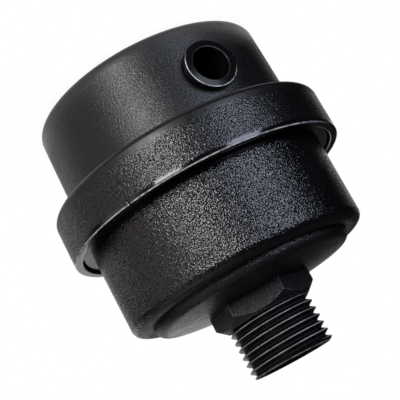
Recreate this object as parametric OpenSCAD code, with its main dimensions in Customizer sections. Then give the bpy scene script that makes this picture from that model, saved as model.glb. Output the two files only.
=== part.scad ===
// Compressor intake filter: a moulded cup with a threaded outlet, a twist-lock cover with a
// side intake, and a pleated paper element between them.
// The flat top of the cover lies at z = 0 and the threaded outlet points along +Z.
// The intake tube points along -Y.

/* [Cup] */
// Outer diameter of the cup at its flange
cup_d = 59.6; // [57:0.1:66]
// How much smaller in radius the cup is at its lower corner
cup_draft = 0.25; // [0:0.05:0.6]
// Wall thickness of the cup
cup_wall = 2.2; // [2:0.1:3]
// Length of the cup that shows below the skirt
cup_drop = 18.3; // [14:0.1:40]
// Radius of the rounded corner below the wall
corner_r = 2.1; // [1:0.05:2.4]
// Radius of the easier curve that leads from the corner into the land
land_r = 3.6; // [2.4:0.1:5]
// How far the side of the raised disc lies inside the wall
disc_inset = 4.7; // [4:0.1:6]
// Height of the land above the start of the corner, where it meets the disc
crease_h = 2.1; // [1.9:0.05:2.3]
// Height of the disc's side and edge
disc_h = 2.3; // [2:0.1:3]
// Draft of the disc's side, in degrees
disc_draft = 4; // [1:1:8]
// Rounding of the disc's edge
disc_round = 1.75; // [0.8:0.05:1.8]
// Slope of the shallow dome where it starts, in degrees
dome_slope = 10.5; // [5:0.5:14]
// Slope of the step inside the floor, in degrees
inner_slope = 60; // [50:1:75]
// Thickness of the cup's floor
floor_t = 2.4; // [1.8:0.1:3]

/* [Outlet] */
// Diameter over the crests of the outlet thread
thread_d = 20.3; // [19:0.1:24]
// Length of the threaded spigot beyond the hexagon
thread_len = 11.75; // [8:0.25:24]
// Chamfer at the end of the thread
thread_chamfer = 0.65; // [0.3:0.05:1]
// Diameter of the outlet passage
outlet_d = 14.4; // [10:0.1:15]
// Chamfer round the mouth of the outlet passage
outlet_chamfer = 0.25; // [0.1:0.05:0.5]
// How far the hexagon's flats stand out from the thread's crests
hex_land = 0.85; // [0.5:0.05:3]
// Height of the hexagon at its corners
hex_h = 4.8; // [3.5:0.1:12]
// Angle of the bevel on the hexagon's corners, in degrees
hex_bevel = 41; // [25:1:50]
// Turn of the hexagon about the axis, in degrees
hex_turn = 33; // [0:1:59]

/* [Element seat] */
// Height of the seat above the edge of the domed floor
seat_h = 0.6; // [0.4:0.1:2]
// Radial gap between the outlet collar and the seat ring
seat_ring_gap = 3.2; // [2:0.1:4]
// Width of the seat ring
seat_ring_w = 1.6; // [1:0.1:2.5]
// Height of the outlet collar above the seat
collar_h = 3.2; // [2:0.1:6]
// Wall thickness of the outlet collar
collar_wall = 1.8; // [1.2:0.1:2.4]
// Number of ribs on the floor
floor_ribs = 8; // [4:1:16]
// Thickness of the ribs inside the housing
rib_t = 1.2; // [0.8:0.1:2]

/* [Cover] */
// How far the crown lies inside the cup's wall
crown_inset = 0.75; // [0.2:0.05:1.2]
// Height of the crown from its flat top to the shoulder
crown_h = 21.3; // [20.5:0.1:40]
// How much smaller in radius the crown is at its top
crown_draft = 0.35; // [0:0.05:0.7]
// Rounding of the crown's top edge
crown_round = 1.7; // [0.8:0.1:2]
// Wall thickness of the crown and the shoulder
cover_wall = 2.1; // [1.8:0.1:2.8]
// Wall thickness of the skirt
skirt_wall = 1.95; // [1.6:0.05:3]
// Rounding of the skirt's upper edge
skirt_round = 1.5; // [0.5:0.1:1.8]
// Rounding of the outer edge of the skirt's lip
lip_round = 0.45; // [0.2:0.05:0.7]
// Rounding of the inner edge of the skirt's lip
lip_inner_round = 0.25; // [0.1:0.05:0.4]
// Height of the ribs under the cover's top
crown_rib_h = 1.3; // [0.6:0.1:2.5]
// Number of ribs under the cover's top
crown_ribs = 8; // [4:2:16]
// Height of the ring that centres the element, beyond those ribs
ring_h = 2.5; // [1.5:0.1:3]
// Wall thickness of that ring
ring_wall = 1.4; // [1:0.1:1.8]

/* [Twist lock] */
// Number of lugs on the cup, and of hooks in the skirt
lug_count = 4; // [3:1:5]
// Direction of the first lug, in degrees
lug_turn = 31; // [0:1:89]
// Angle that one lug covers, in degrees
lug_angle = 26; // [18:1:28]
// Thickness of a lug
lug_t = 1.6; // [1.4:0.1:3]
// Angle that one hook covers, in degrees
hook_angle = 28; // [18:1:30]
// Thickness of a hook
hook_t = 1.6; // [1.4:0.1:3]
// How far the lugs and the flange reach beyond the cup's wall
lug_reach = 2.4; // [2:0.1:3.5]
// Angle that the stop behind a lug covers, in degrees
stop_angle = 2.6; // [2:0.1:5]
// Gap between a hook's end and its stop, in degrees
stop_gap = 0.6; // [0.4:0.1:2]
// Thickness of the cup's flange
flange_t = 2.6; // [1.8:0.1:4]
// Chamfer on the flange's lower edge
flange_chamfer = 0.3; // [0.1:0.05:0.6]
// How far the flange lies inside the skirt's lip
flange_inset = 0.7; // [0.5:0.1:3]
// Angle that one relief in the flange's edge covers, in degrees
relief_angle = 32; // [20:1:44]
// Depth of that relief
relief_depth = 0.6; // [0.3:0.1:1]
// Gap between the cover and the cup, in radius
turn_gap = 0.4; // [0.25:0.05:0.6]
// Gap above and below a hook
hook_play = 0.3; // [0.2:0.05:0.5]

/* [Intake tube] */
// Diameter of the intake bore
intake_d = 8.3; // [6:0.1:9]
// Wall thickness of the intake tube
intake_wall = 1.5; // [1:0.1:1.8]
// Depth of the tube's axis below the cover's top
intake_depth = 12.3; // [11.6:0.1:12.8]
// How far the tube's lip stands out from the crown
intake_proud = 1.85; // [0.5:0.05:6]
// Rounding of the lip's edges
intake_round = 0.3; // [0.1:0.05:0.45]
// Thickness of the collar that holds the tube from inside
intake_collar_t = 1.2; // [0.8:0.1:1.6]
// How far that collar reaches beyond the tube
intake_collar_w = 1.3; // [0.8:0.1:1.4]
// Width of the boss that shows round that collar
boss_land = 0.6; // [0.4:0.1:0.8]
// Depth of the boss behind the crown's wall
boss_t = 0.2; // [0.1:0.1:0.8]
// Gap between the tube and its hole, in radius
intake_fit = 0.08; // [0.05:0.01:0.12]

/* [Element] */
// Air gap between the crown's inside and the element
air_gap = 5.2; // [4.8:0.1:7]
// Thickness of the element's end caps
cap_t = 1.8; // [1.2:0.1:3]
// Height of the rim of an end cap, beyond its plate
cap_rim_h = 1.6; // [1:0.1:3]
// Thickness of that rim
cap_rim_w = 0.8; // [0.6:0.1:1.2]
// Number of pleats in the paper
pleats = 36; // [20:1:44]
// Thickness of the filter paper
paper_t = 0.5; // [0.3:0.05:0.6]
// Gap between the paper and the pieces that hold it, in radius
paper_gap = 0.2; // [0.1:0.05:0.4]
// Wall thickness of the perforated core
core_wall = 0.7; // [0.5:0.1:1]
// Diameter of a hole in the core
core_hole_d = 3.6; // [2:0.1:5]
// Holes round the core in one row
core_holes = 6; // [4:1:9]
// Rows of holes along the core
core_rows = 5; // [3:1:6]
// Gap between pieces that slip together by hand
slip_gap = 0.3; // [0.2:0.05:0.5]

/* [Seal] */
// Width of the seal
seal_w = 1.45; // [1:0.05:1.5]
// Height of the seal above the cup's rim
seal_stand = 1.2; // [0.8:0.1:2]
// Depth of the ledge that holds the seal
seal_ledge = 0.6; // [0.4:0.1:1.2]
// Gap between the seal and the pieces beside it
seal_gap = 0.05; // [0.02:0.01:0.1]

/* [Hidden] */
$fn = 96;
black = [0.085, 0.085, 0.09];
root = 0.4; // how far a feature runs into the wall that carries it

// Heights, counted from the cover's flat top
shoulder_z = crown_h + cover_wall;
rim_z = shoulder_z + seal_stand;
ledge_z = rim_z + seal_ledge;
lug_z = ledge_z + root;
hook_z = lug_z + lug_t + hook_play;
flange_z = hook_z + hook_t + hook_play;
flange_end_z = flange_z + flange_t;
lip_z = flange_end_z + flange_inset;
wall_end_z = lip_z + cup_drop;

// Radii of the cup, the cover and the twist lock
cup_r = cup_d / 2;
cup_in_r = cup_r - cup_wall;
flange_r = cup_r + lug_reach;
skirt_in_r = flange_r + turn_gap;
skirt_r = skirt_in_r + skirt_wall;
crown_r = cup_r - crown_inset;
crown_top_r = crown_r - crown_draft;

// Underside of the cup: corner, land, side of the disc, rounded edge and dome
corner_turn = 55;
land_turn = 86;
corner_c = [cup_r - cup_draft - corner_r, wall_end_z];
land_c = corner_c + (corner_r - land_r) * [cos(corner_turn), sin(corner_turn)];
crease = [cup_r - cup_draft - disc_inset, wall_end_z + crease_h];
edge_z = crease[1] + disc_h - disc_round * cos(dome_slope);
side_h = edge_z + disc_round * sin(disc_draft) - crease[1];
edge_c = [crease[0] - side_h * tan(disc_draft) - disc_round * cos(disc_draft), edge_z];
dome_start = edge_c + disc_round * [sin(dome_slope), cos(dome_slope)];
dome_r = dome_start[0] / sin(dome_slope);
dome_c = [0, dome_start[1] - dome_r * cos(dome_slope)];
dome_in_start = dome_start - floor_t * [sin(dome_slope), cos(dome_slope)];
land_in_z = crease[1] - floor_t;

// Hexagon, thread and the passage through them
thread_r = thread_d / 2;
outlet_r = outlet_d / 2;
hex_r = (thread_r + hex_land) / cos(30);
hex_z = dome_c[1] + sqrt(pow(dome_r, 2) - pow(hex_r, 2));
hex_end_z = hex_z + hex_h;
bevel_r = thread_r + hex_land / 3;
thread_z = hex_end_z + thread_len;
seat_z = dome_in_start[1] - seat_h;
collar_r = outlet_r + collar_wall;
collar_z = seat_z - collar_h;
seat_ring_r = collar_r + seat_ring_gap;

// Twist lock, counted in degrees from the middle of a lug
stop_start = hook_angle / 2 + stop_gap;
stop_end = stop_start + stop_angle;

// Element, between the cover's ribs and the cup's seat
element_r = crown_top_r - cover_wall - air_gap;
element_z = cover_wall + crown_rib_h + slip_gap;
paper_z = element_z + cap_t;
paper_end_z = seat_z - cap_t;
paper_r = element_r - cap_rim_w - paper_gap;
core_in_r = collar_r + slip_gap;
core_r = core_in_r + core_wall;
paper_in_r = core_r + paper_gap;
ring_in_r = element_r + slip_gap;

// Intake tube, counted along its own axis from the centre line
intake_r = intake_d / 2 + intake_wall;
intake_collar_r = intake_r + intake_collar_w;
intake_end = crown_top_r + crown_draft * intake_depth / crown_h + intake_proud;
boss_r = intake_collar_r + boss_land;
boss_face = sqrt(pow(crown_top_r - cover_wall, 2) - pow(boss_r, 2)) - boss_t;

// Points along an arc about c, from angle a0 to angle a1
function arc(c, r, a0, a1, n = 6) =
    [for (i = [0:n]) let (a = a0 + (a1 - a0) * i / n) c + r * [cos(a), sin(a)]];

// Radius at which the line through two polar points crosses the direction a
function line_at(r1, a1, r2, a2, a) =
    r1 * r2 * sin(a2 - a1) / (r1 * sin(a - a1) + r2 * sin(a2 - a));

function polar(r, a) = r * [cos(a), sin(a)];

// A ring with a square section
module ring(r0, r1, z0, z1) {
    rotate_extrude() translate([r0, z0]) square([r1 - r0, z1 - z0]);
}

// The part of such a ring that lies between two directions
module ring_part(r0, r1, z0, z1, a0, a1) {
    rotate([0, 0, a0])
        rotate_extrude(angle = a1 - a0)
            translate([r0, z0]) square([r1 - r0, z1 - z0]);
}

module at_lugs() {
    for (i = [0:lug_count - 1])
        rotate([0, 0, lug_turn + i * 360 / lug_count]) children();
}

// Turns +Z into the intake tube's direction
module on_intake_axis() {
    translate([0, 0, intake_depth]) rotate([90, 0, 0]) children();
}

// Section of the crown, the shoulder and the skirt
module cover_section() {
    crown_in_r = crown_r - cover_wall;
    fillet = crown_round / 2;
    polygon(concat(
        [[0, 0]],
        arc([crown_top_r - crown_round, crown_round], crown_round, -90, 0),
        [[crown_r, crown_h]],
        arc([skirt_r - skirt_round, crown_h + skirt_round], skirt_round, -90, 0),
        arc([skirt_r - lip_round, lip_z - lip_round], lip_round, 0, 90, 4),
        arc([skirt_in_r + lip_inner_round, lip_z - lip_inner_round], lip_inner_round, 90, 180, 3),
        [[skirt_in_r, shoulder_z], [crown_in_r, shoulder_z]],
        arc([crown_top_r - cover_wall - fillet, cover_wall + fillet], fillet, 0, -90, 4),
        [[0, cover_wall]]));
}

// Ring and ribs under the cover's top that hold the element in place
module element_holder() {
    top = cover_wall - root;
    ring(ring_in_r, ring_in_r + ring_wall, top, cover_wall + crown_rib_h + ring_h);
    for (i = [0:crown_ribs / 2 - 1])
        rotate([0, 0, i * 360 / crown_ribs])
            translate([-ring_in_r - ring_wall / 2, -rib_t / 2, top])
                cube([2 * ring_in_r + ring_wall, rib_t, crown_rib_h + root]);
}

// Flat seat behind the crown's wall for the collar of the intake tube
module intake_boss() {
    intersection() {
        on_intake_axis()
            translate([0, 0, boss_face]) cylinder(r = boss_r, h = crown_r - boss_face);
        cylinder(r = crown_top_r - cover_wall + root, h = shoulder_z);
    }
}

module hook() {
    ring_part(cup_r + turn_gap, skirt_in_r + root, hook_z, hook_z + hook_t,
              -hook_angle / 2, hook_angle / 2);
}

module cover() {
    color(black)
    difference() {
        union() {
            rotate_extrude() cover_section();
            element_holder();
            intake_boss();
            at_lugs() hook();
        }
        on_intake_axis()
            translate([0, 0, boss_face - intake_collar_t])
                cylinder(r = intake_r + intake_fit, h = crown_r);
    }
}

module intake_tube() {
    bore_r = intake_d / 2;
    color([0.05, 0.05, 0.055])
    on_intake_axis() rotate_extrude() polygon(concat(
        [[bore_r, boss_face - intake_collar_t],
         [intake_collar_r, boss_face - intake_collar_t],
         [intake_collar_r, boss_face],
         [intake_r, boss_face]],
        arc([intake_r - intake_round, intake_end - intake_round], intake_round, 0, 90, 4),
        arc([bore_r + intake_round, intake_end - intake_round], intake_round, 90, 180, 4)));
}

// Outer form of the cup, from its rim to the top of its dome
module cup_outside() {
    dome_top = dome_c[1] + dome_r;
    polygon(concat(
        [[0, rim_z], [cup_r, rim_z], [cup_r, flange_end_z]],
        arc(corner_c, corner_r, 0, corner_turn),
        arc(land_c, land_r, corner_turn + 8, land_turn, 4),
        [crease],
        arc(edge_c, disc_round, disc_draft, 90 - dome_slope),
        arc(dome_c, dome_r, 90 - dome_slope, 90)));
}

// Everything up to the middle of the domed floor
module below_floor_middle() {
    polygon(concat(
        [[0, rim_z], [dome_start[0], rim_z]],
        arc(dome_c, dome_r - floor_t / 2, 90 - dome_slope, 90)));
}

// Space inside the cup: the wide part, and the part under the dome
module cup_inside() {
    fillet_c = [cup_in_r - corner_r, land_in_z - corner_r];
    polygon(concat(
        [[0, rim_z - 1], [cup_in_r, rim_z - 1]],
        arc(fillet_c, corner_r, 0, 90),
        [[0, land_in_z]]));
    polygon(concat(
        [[0, land_in_z - root],
         dome_in_start + (dome_in_start[1] - land_in_z + root) * [1 / tan(inner_slope), -1]],
        arc(dome_c, dome_r - floor_t, 90 - dome_slope, 90)));
}

module hexagon() {
    around = hex_r + 1;
    start_z = dome_in_start[1] + floor_t / 2;
    intersection() {
        rotate([0, 0, hex_turn])
            translate([0, 0, start_z]) cylinder(r = hex_r, h = hex_end_z - start_z, $fn = 6);
        rotate_extrude() polygon([
            [0, start_z - 1], [around, start_z - 1],
            [around, hex_end_z - (around - bevel_r) * tan(hex_bevel)],
            [bevel_r, hex_end_z], [0, hex_end_z]]);
    }
}

// Plain spigot at the thread's crests
module spigot() {
    rotate_extrude() polygon([
        [0, hex_z], [thread_r, hex_z], [thread_r, thread_z - thread_chamfer],
        [thread_r - thread_chamfer, thread_z], [0, thread_z]]);
}

module outlet_passage() {
    translate([0, 0, collar_z - 1]) cylinder(r = outlet_r, h = thread_z - collar_z + 2);
    translate([0, 0, thread_z - outlet_chamfer])
        cylinder(r1 = outlet_r, r2 = outlet_r + 2 * outlet_chamfer, h = 2 * outlet_chamfer);
}

module flange() {
    difference() {
        rotate_extrude() polygon([
            [cup_r - root, flange_z], [flange_r, flange_z],
            [flange_r, flange_end_z - flange_chamfer],
            [flange_r - flange_chamfer, flange_end_z], [cup_r - root, flange_end_z]]);
        at_lugs()
            ring_part(flange_r - relief_depth, flange_r + 1, flange_z - 1, flange_end_z + 1,
                      -relief_angle / 2, relief_angle / 2);
    }
}

// A lug with the stop for the hook at its far end
module lug() {
    ring_part(cup_r - root, flange_r, lug_z, lug_z + lug_t, -lug_angle / 2, stop_end);
    ring_part(cup_r - root / 2, flange_r - relief_depth, lug_z + root, hook_z + hook_t,
              stop_start, stop_end - stop_gap / 2);
}

// Ring and ribs on the cup's floor that carry the element
module element_seat() {
    ring(seat_ring_r, seat_ring_r + seat_ring_w, seat_z, hex_z);
    for (i = [0:floor_ribs - 1])
        rotate([0, 0, lug_turn + i * 360 / floor_ribs])
            translate([seat_ring_r, -rib_t / 2, seat_z])
                cube([element_r - seat_ring_r, rib_t, hex_z - seat_z]);
}

module cup() {
    color(black)
    difference() {
        union() {
            difference() {
                rotate_extrude() cup_outside();
                rotate_extrude() cup_inside();
                ring(cup_in_r + cup_wall - seal_w - seal_gap, cup_r + 1, rim_z - 1, ledge_z);
            }
            intersection() {
                union() {
                    ring(0, collar_r, collar_z, hex_z);
                    element_seat();
                }
                rotate_extrude() below_floor_middle();
            }
            hexagon();
            spigot();
            flange();
            at_lugs() lug();
        }
        outlet_passage();
    }
}

module housing_seal() {
    color([0.12, 0.12, 0.12])
        ring(cup_r - seal_w, cup_r, shoulder_z + seal_gap, ledge_z);
}

// End cap of the element; its rim points along +Z
module element_cap(hole_r) {
    difference() {
        cylinder(r = element_r, h = cap_t + cap_rim_h);
        translate([0, 0, cap_t]) cylinder(r = element_r - cap_rim_w, h = cap_rim_h + 1);
        if (hole_r > 0)
            translate([0, 0, -1]) cylinder(r = hole_r, h = cap_t + 2);
    }
}

module element_cap_upper() {
    color([0.16, 0.17, 0.18])
        translate([0, 0, element_z]) element_cap(0);
}

module element_cap_lower() {
    color([0.16, 0.17, 0.18])
        translate([0, 0, seat_z]) mirror([0, 0, 1]) element_cap(core_in_r);
}

// The paper runs to and fro between its inner and outer folds
module filter_paper() {
    half = 180 / pleats;
    out_a = asin(paper_t / 2 / paper_r);
    in_a = asin(paper_t / 2 / paper_in_r);
    valley_r = line_at(paper_r, out_a, paper_in_r, half + in_a, half);
    peak_r = line_at(paper_r, -out_a, paper_in_r, half - in_a, 0);
    color([0.2, 0.2, 0.19])
    translate([0, 0, paper_z])
        linear_extrude(paper_end_z - paper_z)
            difference() {
                polygon([for (i = [0:pleats - 1]) let (a = 2 * half * i)
                    each [polar(paper_r, a - out_a), polar(paper_r, a + out_a),
                          polar(valley_r, a + half)]]);
                polygon([for (i = [0:pleats - 1]) let (a = 2 * half * i)
                    each [polar(peak_r, a), polar(paper_in_r, a + half - in_a),
                          polar(paper_in_r, a + half + in_a)]]);
            }
}

// Perforated tube inside the paper
module element_core() {
    row_gap = (paper_end_z - paper_z) / core_rows;
    color([0.6, 0.61, 0.62])
    difference() {
        ring(core_in_r, core_r, paper_z, paper_end_z);
        for (row = [0:core_rows - 1])
            for (i = [0:core_holes - 1])
                translate([0, 0, paper_z + (row + 0.5) * row_gap])
                    rotate([0, 0, (i + (row % 2) / 2) * 360 / core_holes])
                        rotate([0, 90, 0]) cylinder(r = core_hole_d / 2, h = core_r + 1);
    }
}

cover();
intake_tube();
cup();
housing_seal();
element_cap_upper();
filter_paper();
element_core();
element_cap_lower();
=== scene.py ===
# Compressor intake filter: grained black mouldings, a glossy intake tube and a real outlet thread
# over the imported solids. Sizes in the dictionaries are millimetres and degrees.

from math import ceil, cos, exp, floor, pi, radians, sin, sqrt, tan
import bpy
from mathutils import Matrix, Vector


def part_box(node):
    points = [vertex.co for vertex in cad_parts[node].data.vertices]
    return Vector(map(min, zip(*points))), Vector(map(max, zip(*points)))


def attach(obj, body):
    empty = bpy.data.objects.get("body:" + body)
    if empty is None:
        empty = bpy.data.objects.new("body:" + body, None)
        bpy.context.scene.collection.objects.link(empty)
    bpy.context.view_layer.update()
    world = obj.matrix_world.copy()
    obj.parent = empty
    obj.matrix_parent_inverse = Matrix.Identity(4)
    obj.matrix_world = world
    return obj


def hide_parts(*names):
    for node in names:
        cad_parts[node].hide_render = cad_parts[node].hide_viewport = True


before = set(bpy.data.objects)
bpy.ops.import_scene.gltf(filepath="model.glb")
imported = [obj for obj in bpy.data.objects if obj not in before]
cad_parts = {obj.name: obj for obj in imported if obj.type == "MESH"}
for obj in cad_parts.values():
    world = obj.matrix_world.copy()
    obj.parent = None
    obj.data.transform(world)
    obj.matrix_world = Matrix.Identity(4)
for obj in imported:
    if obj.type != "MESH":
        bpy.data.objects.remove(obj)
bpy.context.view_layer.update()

from types import SimpleNamespace

import bmesh
import bpy
from mathutils import Vector

mm = 0.001
print("frame loaded:", sorted(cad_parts))


# Mesh helpers

def named(values):
    # a dictionary whose values are read as s.name
    return SimpleNamespace(**values)


def boxOf(node):
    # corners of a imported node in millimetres
    low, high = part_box(node)
    return [v / mm for v in low], [v / mm for v in high]


def arc(centre, radius, start, end, steps=8):
    # points of an arc in the (radius, height) plane
    points = []
    for i in range(steps + 1):
        a = radians(start + (end - start) * i / steps)
        points.append((centre[0] + radius * cos(a), centre[1] + radius * sin(a)))
    return points


def line(start, end, steps):
    # points after start, up to and with end
    return [(start[0] + (end[0] - start[0]) * i / steps, start[1] + (end[1] - start[1]) * i / steps)
            for i in range(1, steps + 1)]


def makePiece(name, points, faces, sharpAngle=32):
    # points are in millimetres
    mesh = bpy.data.meshes.new(name)
    mesh.from_pydata([(x * mm, y * mm, z * mm) for x, y, z in points], [], faces)
    mesh.validate()
    mesh.polygons.foreach_set("use_smooth", [True] * len(mesh.polygons))
    mesh.set_sharp_from_angle(angle=radians(sharpAngle))
    mesh.update()
    piece = bpy.data.objects.new(name, mesh)
    bpy.context.scene.collection.objects.link(piece)
    return piece


def gridFaces(rows, columns, closedRows=True, skip=None):
    # quads between rows of points, each row closed to a ring
    faces = []
    for j in range(rows if closedRows else rows - 1):
        for i in range(columns):
            if skip and skip(j, i):
                continue
            j1, i1 = (j + 1) % rows, (i + 1) % columns
            faces.append((j * columns + i, j * columns + i1, j1 * columns + i1, j1 * columns + i))
    return faces


def turned(outline, angle):
    # points of the (radius, height) plane, turned to a direction
    a = radians(angle)
    return [(r * cos(a), r * sin(a), z) for r, z in outline]


def lathe(name, outline, steps=240, sharpAngle=32, angles=None, change=None):
    # a closed outline in the (radius, height) plane, turned round Z
    # change(j, angle) is added to the radius of the outline's point j at that angle
    angles = angles or [360 * i / steps for i in range(steps)]
    points = []
    for j, (r, z) in enumerate(outline):
        for angle in angles:
            points += turned([(r + (change(j, angle) if change else 0), z)], angle)
    return makePiece(name, points, gridFaces(len(outline), len(angles)), sharpAngle)


def block(name, r0, r1, z0, z1, a0, a1):
    # part of a ring between two directions
    degreesPerStep, bevel = 1.5, 0.15
    steps = max(3, ceil(abs(a1 - a0) / degreesPerStep))
    section = [(r0, z0), (r1, z0), (r1, z1), (r0, z1)]
    points = []
    for i in range(steps + 1):
        points += turned(section, a0 + (a1 - a0) * i / steps)
    faces = gridFaces(steps + 1, 4, closedRows=False)
    faces += [(3, 2, 1, 0), tuple(4 * steps + k for k in range(4))]
    return soften(makePiece(name, points, faces), bevel)


def soften(piece, width):
    # rounds the sharp edges
    edge = piece.modifiers.new("softEdges", "BEVEL")
    edge.width = width * mm
    edge.segments = 2
    edge.limit_method = "ANGLE"
    edge.angle_limit = radians(50)
    return piece


def fixNormals(piece):
    # turns every face outwards
    work = bmesh.new()
    work.from_mesh(piece.data)
    bmesh.ops.recalc_face_normals(work, faces=work.faces)
    work.to_mesh(piece.data)
    work.free()
    return piece


# Camera: solved from the photograph's ellipses
viewpoint = {
    "turn": -61.0,        # direction from the axis, 0 is +X
    "distance": 198.96,   # from the axis
    "height": 83.59,
    "angles": (-73.0879, -27.5069, -159.3880),
    "lens": 78.11,
    "clip": (0.005, 20),
}


def makeCamera():
    s = named(viewpoint)
    data = bpy.data.cameras.new("camera")
    data.lens = s.lens
    data.clip_start, data.clip_end = s.clip
    camera = bpy.data.objects.new("camera", data)
    camera.location = Vector(turned([(s.distance, s.height)], s.turn)[0]) * mm
    camera.rotation_euler = [radians(a) for a in s.angles]
    bpy.context.scene.collection.objects.link(camera)
    bpy.context.scene.camera = camera


makeCamera()
print("camera set")


# Cover: crown, shoulder and skirt in one moulding, with the hole for the intake tube
coverShape = {
    "crownTopR": 28.7, "crownR": 29.05, "crownH": 21.3, "wall": 2.1, "topRound": 1.7, "capR": 4,
    "crease": 0.12, "skirtRound": 1.5, "skirtWall": 1.95, "lipBand": 1.65, "lipRound": 0.45,
    "lipInnerRound": 0.25, "innerRound": 0.85, "innerBevel": 0.3,
    "holeR": 5.78, "holeEdge": 0.14, "holeDepth": 12.3, "patchHalf": 7.5, "patchRows": 20,
    "columns": 240,
}
nick = {"turn": 323, "reach": 3, "height": 2, "depth": 1.2, "parts": 8, "cut": 0.5, "cutWidth": 0.26,
        "cutHeight": 1.15, "lean": 0.12, "burr": 0.18, "burrAt": 0.6, "burrWidth": 0.26, "lift": 0.3}
twistLock = {
    "count": 4, "turn": 31, "lugHalf": 13, "hookHalf": 14, "stopStart": 14.6, "stopEnd": 17.2,
    "hookIn": 30.2, "lugOut": 32.2, "lugZ": 25.6, "lugT": 1.6, "hookZ": 27.5, "hookT": 1.6,
    "reliefHalf": 16, "relief": 0.6, "root": 0.3, "stopRise": 0.4, "stopShort": 0.3,
}


def coverOutline():
    s = named(coverShape)
    low, high = boxOf("cover")
    skirtR, lipZ = high[0], high[2]
    skirtIn = skirtR - s.skirtWall
    shoulderZ = s.crownH + s.wall
    innerR = s.crownR - s.wall
    innerTopR = s.crownTopR - s.wall
    half, middle = s.patchHalf, s.holeDepth

    def crownRadius(z, top, foot):
        return top + (foot - top) * z / s.crownH

    def holed(top, foot, zs):
        return [(crownRadius(z, top, foot), z) for z in zs]

    rows = [middle - half + 2 * half * i / s.patchRows for i in range(s.patchRows + 1)]
    outline = [(s.capR, 0)] + line((s.capR, 0), (s.crownTopR - s.topRound, 0), steps=6)[:-1]
    outline += arc((s.crownTopR - s.topRound, s.topRound), s.topRound, -90, 0, steps=12)
    outerPatch = len(outline)
    outline += holed(s.crownTopR, s.crownR, rows)
    outline += [(s.crownR, s.crownH - s.crease), (s.crownR + s.crease, s.crownH)]
    outline += line((s.crownR, s.crownH), (skirtR - s.skirtRound, s.crownH), steps=4)[:-1]
    outline += arc((skirtR - s.skirtRound, s.crownH + s.skirtRound), s.skirtRound, -90, 0, steps=10)
    outline += line((skirtR, s.crownH + s.skirtRound), (skirtR, lipZ - s.lipBand), steps=7)
    outline += line((skirtR, lipZ - s.lipBand), (skirtR, lipZ - s.lipRound), steps=6)[:-1]
    outline += arc((skirtR - s.lipRound, lipZ - s.lipRound), s.lipRound, 0, 90, steps=6)
    outline += arc((skirtIn + s.lipInnerRound, lipZ - s.lipInnerRound), s.lipInnerRound, 90, 180, steps=4)
    outline += [(skirtIn, shoulderZ + s.innerBevel), (skirtIn - s.innerBevel, shoulderZ), (innerR, shoulderZ)]
    innerPatch = len(outline)
    outline += holed(innerTopR, innerR, rows[::-1])
    outline += arc((innerTopR - s.innerRound, s.wall + s.innerRound), s.innerRound, 0, -90, steps=5)
    outline += [(s.capR, s.wall)]
    return outline, outerPatch, innerPatch


def coverAngles():
    # evenly spaced columns, and finer ones round the nick
    step = 360 / coverShape["columns"]
    angles = []
    for i in range(coverShape["columns"]):
        parts = nick["parts"] if abs((i + 0.5) * step - nick["turn"]) < nick["reach"] else 1
        angles += [(i + k / parts) * step for k in range(parts)]
    return angles


def nicked(r, z, angle, lipR, lipZ):
    # a short cut up from the lip with a burr beside it, which rises half as far as it stands out
    s, up, inward = named(nick), lipZ - z, lipR - r
    if abs(angle - s.turn) > s.reach or up > s.height or inward > s.depth:
        return r, z
    along = radians(angle - s.turn) * r
    height = max(0, 1 - up / s.cutHeight)
    cut = max(0, 1 - abs(along - s.lean * up) / s.cutWidth) * min(1, 2 * height)
    burr = exp(-((along - s.burrAt) / s.burrWidth) ** 2) * height
    share = max(0, 1 - inward / s.depth)
    r += (s.burr * burr - s.cut * cut) * share
    z += (0.5 * s.burr * burr - s.lift * cut * height) * share
    return r, z


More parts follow.
